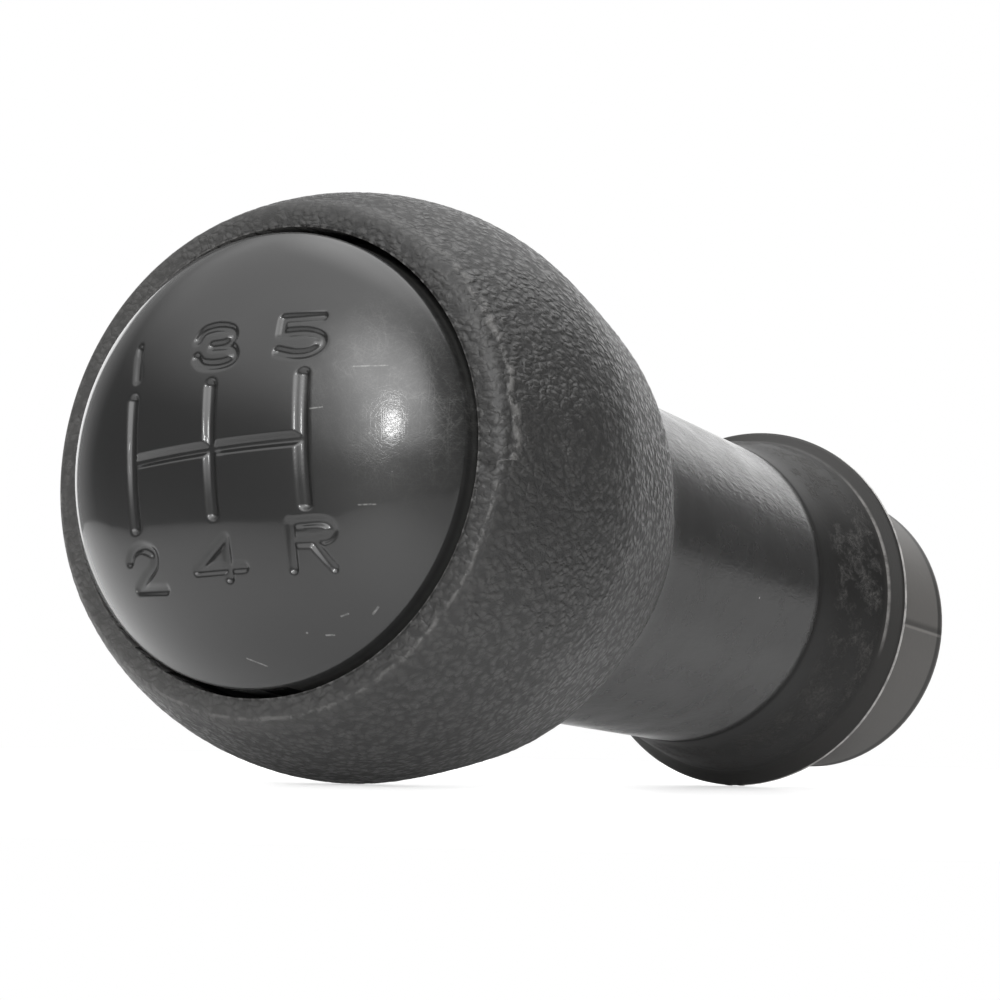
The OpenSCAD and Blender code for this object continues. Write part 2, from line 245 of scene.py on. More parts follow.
def dressed(node, blank, piece_name):
    """The part of the frame's piece that lies inside the blank, as a new piece that stands for it."""
    core = bpy.data.objects.new("core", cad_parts[node].data.copy())
    bpy.context.scene.collection.objects.link(core)
    grow = Matrix.Scale(1 / MM, 4)
    for obj in (core, blank):
        obj.data.materials.clear()
        obj.data.transform(grow)
    weld = core.modifiers.new("weld", "WELD")
    weld.merge_threshold = WELD
    cut = blank.modifiers.new("cut", "BOOLEAN")
    cut.operation = "INTERSECT"
    cut.solver = "MANIFOLD"
    cut.object = core
    made = bpy.data.meshes.new_from_object(blank.evaluated_get(bpy.context.evaluated_depsgraph_get()))
    made.transform(grow.inverted())
    for obj in (core, blank):
        bpy.data.objects.remove(obj)
    made.name = piece_name
    made.shade_smooth()
    made.set_sharp_from_angle(angle=SHARP_EDGE)
    piece = bpy.data.objects.new(piece_name, made)
    bpy.context.scene.collection.objects.link(piece)
    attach(piece, "root")
    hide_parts(node)
    made.calc_loop_triangles()
    print(piece_name, "triangles:", len(made.loop_triangles))
    return piece


# %% [markdown]
# Materials are node trees, and a tree drawn by hand can't be read as a text.
# A small helper adds the nodes and wires them, so that a finish reads like a recipe: a noise here, a soft
# step there, one times the other. Places on the object are in its own coordinates, in metres, so each
# finish stays put from every side.

# %% Node helper
class Tree:
    """Adds nodes to a material or world and wires them: sockets may be given as values or as links."""

    def __init__(self, owner):
        owner.use_nodes = True
        self.tree = owner.node_tree
        self.tree.nodes.clear()

    def add(self, kind, inputs=None, **settings):
        node = self.tree.nodes.new(kind)
        for key, value in settings.items():
            setattr(node, key, value)
        for key, value in (inputs or {}).items():
            socket = node.inputs[key]
            if isinstance(value, bpy.types.NodeSocket):
                self.tree.links.new(value, socket)
            elif isinstance(value, bpy.types.Node):
                self.tree.links.new(value.outputs[0], socket)
            else:
                socket.default_value = value
        return node

    def maths(self, operation, first, *others):
        """One operation on two values, or from left to right on more."""
        if not others:
            return self.add("ShaderNodeMath", {0: first}, operation=operation).outputs[0]
        for other in others:
            first = self.add("ShaderNodeMath", {0: first, 1: other}, operation=operation).outputs[0]
        return first

    def times(self, *values):
        return self.maths("MULTIPLY", *values)

    def plus(self, *values):
        return self.maths("ADD", *values)

    def minus(self, first, second):
        return self.maths("SUBTRACT", first, second)

    def most(self, *values):
        return self.maths("MAXIMUM", *values)

    def spread(self, value, low, high, to_low=0.0, to_high=1.0):
        """A soft step: to_low below low, to_high above high."""
        node = self.add("ShaderNodeMapRange", {0: value, 1: low, 2: high, 3: to_low, 4: to_high})
        node.interpolation_type = "SMOOTHSTEP"
        return node.outputs[0]

    def noise(self, place, scale, detail=3.0, rough=0.5):
        inputs = {"Vector": place, "Scale": scale, "Detail": detail, "Roughness": rough}
        return self.add("ShaderNodeTexNoise", inputs).outputs[0]

    def cells(self, place, scale):
        return self.add("ShaderNodeTexVoronoi", {"Vector": place, "Scale": scale}, feature="F1")

    def blend(self, share, first, second):
        return self.add("ShaderNodeMix", {0: share, 2: first, 3: second}, data_type="FLOAT").outputs[0]

    def tint(self, share, first, second):
        return self.add("ShaderNodeMix", {0: share, 6: first, 7: second}, data_type="RGBA").outputs[2]

    def greyish(self, level, red=1.0, blue=0.97):
        """A nearly grey colour of the given level."""
        parts = {0: self.times(level, red), 1: level, 2: self.times(level, blue)}
        return self.add("ShaderNodeCombineColor", parts).outputs[0]

    def moved(self, place, location=(0, 0, 0), rotation=(0, 0, 0), scale=(1, 1, 1), kind="POINT"):
        inputs = {0: place, 1: location, 2: rotation, 3: scale}
        return self.add("ShaderNodeMapping", inputs, vector_type=kind).outputs[0]

    def parts(self, place):
        return tuple(self.add("ShaderNodeSeparateXYZ", {0: place}).outputs)

    def distance(self, place, point):
        node = self.add("ShaderNodeVectorMath", {0: place, 1: point}, operation="DISTANCE")
        return node.outputs["Value"]

    def dot(self, place, direction):
        node = self.add("ShaderNodeVectorMath", {0: place, 1: direction}, operation="DOT_PRODUCT")
        return node.outputs["Value"]

    def bump(self, height, distance):
        return self.add("ShaderNodeBump", {"Height": height, "Distance": distance}).outputs[0]

    def place(self):
        """The point on the object in its own coordinates, and its parts."""
        spot = self.add("ShaderNodeTexCoord").outputs["Object"]
        return (spot,) + self.parts(spot)

    def seen(self):
        """1 where the camera looks straight at the surface, 0 for every other ray."""
        return self.add("ShaderNodeLightPath").outputs["Is Camera Ray"]

    def finish(self, **inputs):
        named = {key.replace("_", " "): value for key, value in inputs.items()}
        shader = self.add("ShaderNodeBsdfPrincipled", named)
        self.add("ShaderNodeOutputMaterial", {0: shader})


print("recipe words:", ", ".join(word for word in vars(Tree) if not word.startswith("_")))

# %% [markdown]
# Each finish is one material, and each piece wears one.
# A material could be shared or split over faces, but the pieces of this knob are separate mouldings, so
# one each is what the real thing has.

# %% Paint
def grey(level, warm):
    """A slightly warm grey."""
    return (level * (1 + warm), level, level * (1 - warm), 1)


def material(name):
    made = bpy.data.materials.new(name)
    return made, Tree(made)


def paint(obj, made):
    obj.data.materials.clear()
    obj.data.materials.append(made)
    print(made.name, "nodes:", len(made.node_tree.nodes))


print("a warm grey:", [round(part, 3) for part in grey(0.5, 0.03)])

# %% [markdown]
# The core and the bush are hidden, and keep the frame's own shapes.
# They have the finish that such pieces leave the factory with: a slightly cloudy moulded skin. A flat
# colour would do for what nobody sees, but a reused part is taken apart on a bench now and then.

# %% Finishes of the moulded hidden pieces
CLOUD_SCALE, SKIN_SCALE = 180.0, 3500.0
SKIN_DEPTH = 0.000004
ROUGH_SPREAD = 0.05


def moulded(name, colour, rough, speckle):
    made, t = material(name)
    place = t.place()[0]
    cloud = t.noise(place, CLOUD_SCALE, 4.0)
    dark, light = (tuple(c * (1 + side * speckle) for c in colour) + (1,) for side in (-1, 1))
    t.finish(Base_Color=t.tint(cloud, dark, light),
             Roughness=t.spread(cloud, 0.3, 0.7, rough - ROUGH_SPREAD, rough + ROUGH_SPREAD),
             Normal=t.bump(t.noise(place, SKIN_SCALE), SKIN_DEPTH))
    return made


paint(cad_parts["core_insert"], moulded("core_plastic_look", (0.03, 0.03, 0.03), 0.55, 0.2))
paint(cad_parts["lever_bush"], moulded("bush_plastic_look", (0.75, 0.73, 0.66), 0.4, 0.05))

# %% [markdown]
# The ring is spring wire, pulled bright through a die.
# What makes drawn wire look drawn is its uneven polish, so the metal keeps one colour and only its
# roughness wanders.

# %% Finish of the wire ring
STEEL = (0.56, 0.56, 0.57, 1)
wire, t = material("spring_wire_look")
polish = t.spread(t.noise(t.place()[0], 900.0), 0.3, 0.7, 0.18, 0.4)
t.finish(Base_Color=STEEL, Metallic=1.0, Roughness=polish)
paint(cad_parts["spring_ring"], wire)

# %% [markdown]
# The head and neck are one soft moulding, so they are dressed as one piece.
# The head needs close rings for its grain. The neck is almost straight and needs few. Its lower edge is
# rounded by a few tenths of a millimetre, where it meets the collar in a thin dark seam.

# %% Grip outline
GRIP_COLUMNS = 520
HEAD_STEP, NECK_STEP = 0.3, 1.5
PARTED_AT = 57.0
NECK_OVERLAP = 0.51
NECK_EDGE = ((0.02, 0.25), (0.09, 0.08), (0.2, 0.0), (0.2, -1.0))
head_rings = [ring for ring in grip_rings if ring[1] > PARTED_AT]
neck_rings = [ring for ring in grip_rings if ring[1] < PARTED_AT + NECK_OVERLAP]
head_line = resample(head_rings, HEAD_STEP, sink=SINK)
neck_line = resample(neck_rings, NECK_STEP, sink=SINK)
neck_edge = [[neck_line[-1][0] - inwards, grip_low + up] for inwards, up in NECK_EDGE]
grip_line = np.vstack([head_line, neck_line[1:-1], neck_edge])
print("rings on the head:", len(head_line), "on the neck:", len(neck_line))

# %% [markdown]
# The mould was in two halves, and where they met a small pit is left in the land beside the cap.
# The head's grain lifts the skin by a few hundredths of a millimetre, which is enough to roughen its
# outline against the white. Cells of a Voronoi noise make the lift: flat pebbles with creases between them.
# The fine creases would take millions of points, so they come later, with the finish.

# %% Grip carving
HEAD_FOOT = 57.9
SHOULDER = 96.8
PART_ANGLE = math.radians(-6.5)
LIFT, LIFT_CELL, CREASE = 0.045, 0.9, 0.4
PIT_DEPTH = 0.4
PIT_AROUND = (0.0, 0.013, 0.035, 0.055)
PIT_ACROSS = (19.85, 20.05, 21.0, 21.5)


def past(angle, start):
    """How far an angle lies past a start, from -pi to pi."""
    return (angle - start + math.pi) % (2 * math.pi) - math.pi


def soft_step(value, low, high):
    share = np.clip((value - low) / (high - low), 0, 1)
    return share * share * (3 - 2 * share)


def soft_band(value, low, low_full, high_full, high):
    """1 between the two inner limits, and 0 outside the outer ones."""
    return soft_step(value, low, low_full) * (1 - soft_step(value, high_full, high))


def carve_grip(angle, r, z):
    lift = np.zeros(len(r))
    head = (z > HEAD_FOOT) & (z < SHOULDER)
    spots = np.column_stack([r * np.cos(angle), r * np.sin(angle), z])
    for i in np.flatnonzero(head):
        near, second = noise.voronoi(Vector(spots[i]) / LIFT_CELL)[0][:2]
        lift[i] = min(second - near, CREASE) / CREASE - 0.5
    r = r + LIFT * lift
    pit = soft_band(-past(angle, PART_ANGLE), *PIT_AROUND) * soft_band(r, *PIT_ACROSS) * (z > SHOULDER)
    return r, z - PIT_DEPTH * pit


grip = dressed("grip_cover", turned("grip", grip_line, GRIP_COLUMNS, carve_grip), "grip")

# %% [markdown]
# The grain is the reason why the head looks like leather.
# It is a net of fine creases round soft pebbles, six to seven tenths of a millimetre wide, and it stops
# dead at the foot of the head, as it did in the mould. Cells alone would look like a honeycomb, so their
# places are first bent by a noise and stretched on a slant, and a fuzz lies over them. On the land beside
# the cap the grain is weaker.

# %% Grain of the head
FOOT_LINE = (0.05765, 0.0581)
LAND_LINE = (0.0950, 0.0969)
WARP_SCALE, WARP_REACH = 900.0, 0.0010
PEBBLE_SCALE, FUZZ_SCALE, PATCH_SCALE = 1350.0, 3600.0, 190.0
SLANT, STRETCH = (0.5, 0.3, 0.9), (1.0, 1.35, 1.1)
PEBBLE_RELIEF, FUZZ_RELIEF, LAND_RELIEF = 0.85, 0.5, 0.6

soft, t = material("soft_cover_look")
place, x, y, z = t.place()
on_head = t.spread(z, *FOOT_LINE)
on_land = t.spread(z, *LAND_LINE)
warp = t.add("ShaderNodeTexNoise", {"Vector": place, "Scale": WARP_SCALE, "Detail": 2.0}).outputs["Color"]
shift = t.add("ShaderNodeVectorMath", {0: warp, 1: (0.5, 0.5, 0.5)}, operation="SUBTRACT")
shift = t.add("ShaderNodeVectorMath", {0: shift, 3: WARP_REACH}, operation="SCALE")
bent = t.add("ShaderNodeVectorMath", {0: place, 1: shift}, operation="ADD").outputs[0]
slanted = t.moved(bent, rotation=SLANT, scale=STRETCH)
pebble = t.spread(t.cells(slanted, PEBBLE_SCALE).outputs["Distance"], 0.12, 0.8, 1.0, 0.0)
fuzz = t.noise(bent, FUZZ_SCALE, 3.0, 0.6)
patches = t.noise(place, PATCH_SCALE, 3.0)
strength = t.spread(patches, 0.36, 0.64, 0.4, 1.0)
head_relief = t.plus(t.times(pebble, strength, PEBBLE_RELIEF), t.times(fuzz, FUZZ_RELIEF))
head_relief = t.times(head_relief, t.blend(on_land, 1.0, LAND_RELIEF))
print("pebbles to the millimetre:", PEBBLE_SCALE * MM)

# %% [markdown]
# The neck was polished in the mould, so it has hardly any grain.
# A perfectly smooth neck would mirror the room in clean bands, though, and the real one breaks them up. A
# noise drawn out along the lever does that. It is stronger on the side that lies uppermost there.

# %% Grain of the neck
DRAWN_OUT = (1.0, 1.0, 0.3)
around = t.maths("ARCTAN2", y, x)
drawn = t.moved(bent, scale=DRAWN_OUT)
streaks = t.times(t.noise(drawn, 2300.0, 4.0, 0.6), 0.34)
waves = t.times(t.noise(place, 420.0, 2.0), 0.25)
neck_relief = t.times(t.plus(streaks, waves), t.spread(around, 0.1, 0.5, 0.35, 1.1))
print("nodes so far:", len(t.tree.nodes))

# %% [markdown]
# The shoulder's edge is painted pale, in a broken line that runs round the land: rubbed wear and a painted
# highlight together.
# Below the mould's parting the line sits further in, and towards the top it fades. It could be painted as
# a picture, but a distance from a circle does it: one noise makes the line wander, and another breaks it.

# %% Rubbed edge of the shoulder, with a painted highlight
RIDGE_OUT, RIDGE_IN = 0.02235, 0.0215
RIDGE_WANDER = 0.0006
RIDGE_CORE, RIDGE_FADE = 0.00003, 0.00024
RIDGE_FOOT = (0.0945, 0.0955)
out = t.maths("SQRT", t.plus(t.times(x, x), t.times(y, y)))
above_part = t.spread(around, PART_ANGLE - 0.01, PART_ANGLE + 0.01)
ridge_at = t.blend(above_part, RIDGE_IN, RIDGE_OUT)
wander = t.times(t.noise(place, 500.0, 2.0), RIDGE_WANDER)
ridge_off = t.maths("ABSOLUTE", t.minus(t.plus(out, wander), t.plus(ridge_at, RIDGE_WANDER / 2)))
line = t.spread(ridge_off, RIDGE_CORE, RIDGE_FADE, 1.0, 0.0)
broken = t.spread(t.noise(place, 900.0, 3.0, 0.6), 0.40, 0.56, 0.1, 1.0)
fading = t.blend(above_part, 0.6, t.spread(around, 0.45, 0.95, 1.0, 0.3))
ridge = t.times(line, t.spread(z, *RIDGE_FOOT), broken, fading)
relief = t.blend(on_head, neck_relief, t.plus(head_relief, t.times(ridge, 0.5)))
print("step of the rubbed edge at the mould's parting, mm:", round((RIDGE_OUT - RIDGE_IN) / MM, 2))

# %% [markdown]
# The colour is a near black, and apart from the painted light below it varies as wear and dust make it vary.
# The creases are painted darker than the pebble tops, as painted shade. The land is painted paler to the
# left, as painted light, dust lies in the gap round the cap, and one white speck sits on the neck.

# %% Colour of the grip
NECK_LEVEL, CREASE_SHADE_LEVEL, PEBBLE_LEVEL = 0.010, 0.013, 0.032
LEFT_LIGHT_LEVEL, GAP_DUST, RIDGE_HIGHLIGHT_LEVEL, SPECK_LEVEL = 0.030, 0.045, 0.085, 0.4
LEFT_LIGHT_ACROSS = (-0.021, 0.012)
GAP_WALL, GAP_BOTTOM = (0.01985, 0.01995), (0.0905, 0.0915)
SPECK = (0.01417, -0.00425, 0.03933)
SPECK_CORE, SPECK_RIM = 0.00006, 0.00013
# Painted shade: the creases are darker than the pebble tops.
level = t.blend(on_head, NECK_LEVEL, t.blend(pebble, CREASE_SHADE_LEVEL, PEBBLE_LEVEL))
level = t.times(level, t.spread(patches, 0.25, 0.75, 0.88, 1.12))
# Painted light: the land is paler towards the left.
painted_pale = t.times(on_land, t.spread(x, *LEFT_LIGHT_ACROSS, LEFT_LIGHT_LEVEL, 0.0))
hollow = t.times(t.spread(out, *GAP_WALL, 1.0, 0.0), t.spread(z, *GAP_BOTTOM))
white_speck = t.spread(t.distance(place, SPECK), SPECK_CORE, SPECK_RIM, SPECK_LEVEL, 0.0)
# The shoulder's pale line is worn edge and painted highlight together.
level = t.plus(level, t.plus(painted_pale, t.times(hollow, GAP_DUST)), t.times(ridge, RIDGE_HIGHLIGHT_LEVEL), white_speck)
print("nodes so far:", len(t.tree.nodes))

# %% [markdown]
# The sheen tells rubber from leather and from plastic.
# Pebble tops are polished by the palm and creases are dull. The neck is smoother than both, and the land is
# even. Only roughness is varied: how strongly the skin mirrors is one number for the whole moulding.

# %% Sheen of the grip
GRIP_SPECULAR, GRIP_DEPTH = 0.62, 0.00016
CREASE_ROUGH, PEBBLE_ROUGH, LAND_ROUGH = 0.55, 0.31, 0.5
neck_rough = t.spread(t.noise(place, 300.0, 5.0), 0.3, 0.7, 0.20, 0.29)
rough = t.blend(on_head, neck_rough, t.blend(pebble, CREASE_ROUGH, PEBBLE_ROUGH))
rough = t.blend(on_land, rough, LAND_ROUGH)
t.finish(Base_Color=t.greyish(level, 1.02), Roughness=rough, Specular_IOR_Level=GRIP_SPECULAR,
         Normal=t.bump(relief, GRIP_DEPTH))
paint(grip, soft)

# %% [markdown]
# The collar is a sleeve that flares to a thin lip, with the tail tube under it.
# Its skin is read from the frame like the grip's. The underside of the lip and the tube are set as a few
# rings of their own, because they are plain and hardly seen.

# %% Collar outline
COLLAR_COLUMNS = 480
COLLAR_STEP = 0.3
TAIL_TOP, TAIL_EDGE, TAIL_RADIUS = 15.0, 0.8, 13.2
TUBE_RINGS = 12
lip_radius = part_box("gaiter_collar")[1].x / MM
collar_rings = skin_rings("gaiter_collar", TAIL_EDGE, grip_low)
upper = resample([ring for ring in collar_rings if ring[1] > TAIL_TOP + 0.4], COLLAR_STEP, sink=SINK)
lip = [[lip_radius - SINK, TAIL_TOP + 0.45], [lip_radius - SINK, TAIL_TOP + 0.05],
       [lip_radius - 0.12, TAIL_TOP - 0.1], [TAIL_RADIUS - SINK, TAIL_TOP - 0.1]]
tube = [[TAIL_RADIUS - SINK, h] for h in np.linspace(TAIL_TOP - 0.2, TAIL_EDGE, TUBE_RINGS)]
tube_end = [[TAIL_RADIUS - SINK, -1.0]]
mouth_radius = upper[0][0]
mouth = [[13.0, 40.0], [13.0, grip_low + 1], [mouth_radius - 0.12, grip_low + 1],
         [mouth_radius - 0.12, grip_low - 0.02], [mouth_radius - 0.03, grip_low - 0.12]]
collar_line = np.vstack([mouth, upper[1:], lip, tube, tube_end])
print("collar outline:", collar_rings)

# %% [markdown]
# Moulds leave flash where they part.
# A fine line of it runs down the tail, and two tiny stubs are left on the rim of the lip. Both are real
# relief and not paint, because they break the outline: a bell curve over the angle lifts the skin.

# %% Collar carving
PART_LINE = math.radians(-8.8)
LIP_STUBS = (math.radians(-98.6), math.radians(-94.1))
LINE_WIDTH, LINE_HEIGHT = 0.011, 0.045
STUB_WIDTH, STUB_HEIGHT = 0.012, 0.16


def carve_collar(angle, r, z):
    on_tail = (z < TAIL_TOP - 0.05) * (z > TAIL_EDGE - 0.1)
    ridge = np.exp(-(past(angle, PART_LINE) / LINE_WIDTH) ** 2) * on_tail
    on_rim = (r > lip_radius - 0.2) & (z > TAIL_TOP - 0.05) & (z < TAIL_TOP + 0.5)
    stubs = sum(np.exp(-(past(angle, stub) / STUB_WIDTH) ** 2) for stub in LIP_STUBS) * on_rim
    return r + LINE_HEIGHT * ridge + STUB_HEIGHT * stubs, z


collar = dressed("gaiter_collar", turned("collar", collar_line, COLLAR_COLUMNS, carve_collar), "collar")

# %% [markdown]
# The collar has been handled least and cleaned least.
# Dust and dried polish sit in the flare in mottled patches. Two noises of different size make them: one
# says where a patch is, and the other crumbles it.

# %% Dust in the flare
FLARE_FOOT, FLARE_TOP = (0.0171, 0.0180), (0.0235, 0.0252)
sleeve, t = material("collar_look")
place, x, y, z = t.place()
flare = t.times(t.spread(z, *FLARE_FOOT), t.spread(z, *FLARE_TOP, 1.0, 0.0))
dirt = t.spread(t.noise(place, 420.0, 8.0, 0.72), 0.46, 0.60)
crumbs = t.spread(t.noise(place, 3000.0, 4.0, 0.7), 0.42, 0.64)
dust = t.times(flare, t.times(dirt, t.blend(crumbs, 0.2, 1.0)))
print("dust lies from", FLARE_FOOT[0], "to", FLARE_TOP[1], "m")

# %% [markdown]
# The two thin edges of the collar are painted bright.
# One is the rim of the lip, all the way round, worn bright and with a painted highlight. The other is the
# line where the flare ends, a painted highlight mostly on the side that the portrait shows.

# %% Worn edges of the collar, with painted highlights
EDGE_LOW, EDGE_HIGH = (0.01645, 0.01662), (0.01674, 0.01688)
RIM_LOW, RIM_HIGH = (0.0149, 0.0150), (0.01538, 0.0155)
EDGE_HIGHLIGHT_SHARE, WEAR_AND_HIGHLIGHT_SHARE = 0.32, 0.8
around = t.maths("ARCTAN2", y, x)
highlight_side = t.times(t.spread(around, -0.45, -0.2), t.spread(around, 0.45, 0.85, 1.0, 0.12))
# Painted highlight: the line where the flare ends, brightest on the side that the portrait shows.
edge = t.times(t.spread(z, *EDGE_LOW), t.spread(z, *EDGE_HIGH, 1.0, 0.0))
# The lip's rim: worn bright, with a painted highlight.
rim = t.times(t.spread(z, *RIM_LOW), t.spread(z, *RIM_HIGH, 1.0, 0.0))
nicks = t.spread(t.noise(place, 900.0, 4.0, 0.7), 0.35, 0.6, 0.45, 1.0)
# worn holds the rim's wear and both painted highlights.
worn = t.times(t.most(t.times(edge, highlight_side, EDGE_HIGHLIGHT_SHARE), rim), nicks)
print("worn rim of the lip, mm high:", round((RIM_HIGH[1] - RIM_LOW[0]) / MM, 2))

# %% [markdown]
# The tail is greyer than the flare, and the flare is painted near black, as painted shade under the neck's
# end.
# The tail's rounded end has a painted shade band, and beside the mould's line lies a painted shadow, with a
# painted highlight on the line itself.

# %% Shades of the collar, with painted shade, shadow and highlight
TAIL_LEVEL, END_SHADE_LEVEL, LIP_LEVEL, FLARE_SHADE_LEVEL, PARTING_HIGHLIGHT_LEVEL = 0.105, 0.035, 0.021, 0.010, 0.07
END_LOW, END_HIGH = (0.0007, 0.0009), (0.0013, 0.0016)
past_part = t.minus(around, PART_LINE)
# Painted shade along the tail's rounded end.
end_edge_shade = t.times(t.spread(z, *END_LOW), t.spread(z, *END_HIGH, 1.0, 0.0))
# Painted shadow beside the mould's line, and a painted highlight on the line.
parting_shadow = t.times(t.spread(past_part, 0.008, 0.02), t.spread(past_part, 0.03, 0.07, 1.0, 0.0))
parting_highlight = t.spread(t.maths("ABSOLUTE", past_part), 0.004, 0.014, 1.0, 0.0)
tail_shade = t.times(t.blend(end_edge_shade, TAIL_LEVEL, END_SHADE_LEVEL), t.blend(parting_shadow, 1.0, 0.55))
tail_shade = t.plus(tail_shade, t.times(parting_highlight, PARTING_HIGHLIGHT_LEVEL))
# Painted shade: the flare is near black under the neck's end.
flare_shade = t.blend(t.spread(z, 0.0168, 0.0176), LIP_LEVEL, FLARE_SHADE_LEVEL)
sleeve_shade = t.blend(t.spread(z, 0.0149, 0.0151), tail_shade, flare_shade)
print("nodes so far:", len(t.tree.nodes))

# %% [markdown]
# Dust goes over the plastic, and the worn edges with their painted highlights go through the dust.
# That is the order of the tints. The relief is faint: a fine skin, rings scored by handling, and the dust
# standing a little proud, with a dull surface of its own.

# %% Collar finish
DUST_GREY, WEAR_AND_HIGHLIGHT_GREY = grey(0.058, 0.04), grey(0.65, 0.03)
COLLAR_SPECULAR, COLLAR_DEPTH = 0.35, 0.00004
base = t.tint(dust, t.greyish(sleeve_shade, 1.04, 0.95), DUST_GREY)
# Wear and painted highlights are tinted over the dust.
base = t.tint(t.times(worn, WEAR_AND_HIGHLIGHT_SHARE), base, WEAR_AND_HIGHLIGHT_GREY)
scored = t.noise(t.moved(place, scale=(1.0, 1.0, 9.0)), 1300.0, 2.0)
relief = t.plus(t.times(t.noise(place, 2600.0, 3.0), 0.3), t.times(dust, 1.6), t.times(scored, 0.3))
t.finish(Base_Color=base, Roughness=t.blend(dust, 0.5, 0.8), Specular_IOR_Level=COLLAR_SPECULAR,
         Normal=t.bump(relief, COLLAR_DEPTH))
paint(collar, sleeve)

# %% [markdown]
# The cap is one glossy lens of plastic with the shift pattern pressed into it.
# The gates and the numbers could be text and curve objects cut into the face, which would leave hard
# edges. Here each is a pen line instead: a path on the face, in mm to the right of and above the lever's
# axis. How deep the face lies then follows from the distance to the nearest line, with soft shoulders.

# %% Pattern lines
GATES = (-8.5, -0.2, 8.1)
GATE_TOP, GATE_BOTTOM, CROSS = 4.8, -5.8, -0.5
grooves = [[(gate, GATE_TOP), (gate, GATE_BOTTOM)] for gate in GATES]
grooves += [[(GATES[0], CROSS), (GATES[2], CROSS)]]


def curve(points, steps=8):
    """A smooth path through the points."""
    p = np.array([points[0]] + list(points) + [points[-1]], float)
    path = []
    for i in range(1, len(p) - 2):
        for s in np.arange(steps) / steps:
            path.append(0.5 * (2 * p[i] + (p[i + 1] - p[i - 1]) * s
                               + (2 * p[i - 1] - 5 * p[i] + 4 * p[i + 1] - p[i + 2]) * s**2
                               + (3 * p[i] - p[i - 1] - 3 * p[i + 1] + p[i + 2]) * s**3))
    return path + [p[-1]]


one = [[(-8.45, 9.3), (-8.25, 6.6)]]
three = [
    curve([(-2.0, 9.0), (-1.4, 9.7), (-0.1, 9.85), (1.2, 9.5), (1.5, 8.8), (0.9, 8.25), (-0.4, 8.2)]),
    curve([(-0.4, 8.2), (1.2, 8.0), (1.8, 7.3), (1.5, 6.7), (0.3, 6.5), (-1.2, 6.75), (-1.9, 7.4)]),
]
five = [
    [(9.2, 9.75), (5.9, 9.85), (5.85, 8.55)],
    curve([(5.85, 8.55), (7.9, 8.5), (9.2, 8.0), (9.35, 7.2), (8.5, 6.65), (7.2, 6.6), (5.75, 7.0)]),
]
two = [
    curve([(-9.75, -8.4), (-9.2, -7.7), (-8.0, -7.5), (-6.9, -8.1), (-7.0, -9.1), (-8.1, -9.9),
           (-9.3, -10.7)]),
    [(-9.3, -10.7), (-6.2, -11.1)],
]
four = [[(0.5, -11.0), (0.6, -7.9), (-2.5, -10.1), (2.0, -10.3)]]
reverse = [
    [(6.3, -10.8), (6.6, -7.3)],
    curve([(6.6, -7.3), (9.1, -7.3), (9.9, -7.9), (9.5, -8.6), (8.3, -8.8), (6.5, -8.75)]),
    [(8.2, -8.8), (9.5, -10.9)],
]
numbers = one + three + five + two + four + reverse
print("pattern lines:", len(grooves), "grooves and", len(numbers), "strokes")

# %% [markdown]
# A pressed line is deepest along its middle and rises to the face on both sides.
# The gates are pressed deeper and wider than the numbers.

# %% Pressing the lines
GATE_PRESS = dict(depth=0.42, floor=0.12, brim=0.72)
NUMBER_PRESS = dict(depth=0.28, floor=0.09, brim=0.54)


def distance_to(paths, x, y):
    """The distance of each point from the nearest of the paths."""
    best = np.full(len(x), 1e3)
    for path in paths:
        for (ax, ay), (bx, by) in zip(path[:-1], path[1:]):
            dx, dy = bx - ax, by - ay
            share = np.clip(((x - ax) * dx + (y - ay) * dy) / max(dx * dx + dy * dy, 1e-9), 0, 1)
            best = np.minimum(best, np.hypot(x - ax - share * dx, y - ay - share * dy))
    return best


def pressed(paths, x, y, depth, floor, brim):
    """How deep a rounded groove along the paths is: flat within floor of a path, gone beyond brim."""
    return depth * (1 - soft_step(distance_to(paths, x, y), floor, brim))


middle = np.zeros(1)
print("depth at the lever's axis, mm:", round(float(pressed(grooves, middle, middle, **GATE_PRESS)[0]), 3))

# %% [markdown]
# The face of the cap needs points that lie evenly, or the shoulders of the lines would look jagged.
# Rings and columns crowd in the middle and thin out at the rim. So a square grid is used, bent until its
# rim is a circle: all its meshes stay about as wide as each other.

# %% Face of the cap
CAP_GRID = 276
CAP_STEP = 0.25
FACE_FOOT = 98.86
cap_rings = skin_rings("pattern_cap", 98.6, 107.2, bulging=True)
cap_line = resample(cap_rings, CAP_STEP, sink=SINK)
face_line = cap_line[cap_line[:, 1] > FACE_FOOT]
side = np.linspace(-1, 1, CAP_GRID + 1)
u, v = (g.ravel() for g in np.meshgrid(side, side))
wide = np.abs(u) >= np.abs(v)
reach_out = np.where(wide, u, v)
safe = np.where(np.abs(reach_out) < 1e-9, 1, reach_out)
turn_to = np.where(wide, math.pi / 4 * v / safe, math.pi / 2 - math.pi / 4 * u / safe)
grid_r = reach_out * face_line[-1][0]
gx, gy = grid_r * np.cos(turn_to), grid_r * np.sin(turn_to)
gz = np.interp(np.abs(grid_r), face_line[:, 0], face_line[:, 1])
gz = gz - np.maximum(pressed(grooves, gx, gy, **GATE_PRESS), pressed(numbers, gx, gy, **NUMBER_PRESS))
print("cap outline rings:", cap_rings)
print("mesh width on the face, mm:", round(2 * face_line[-1][0] / CAP_GRID, 3))

# %% [markdown]
# Below the face, the blank goes on as rings that start from the grid's own rim.
# It runs on past the skirt and the snap legs, so that the frame's piece keeps all of them.

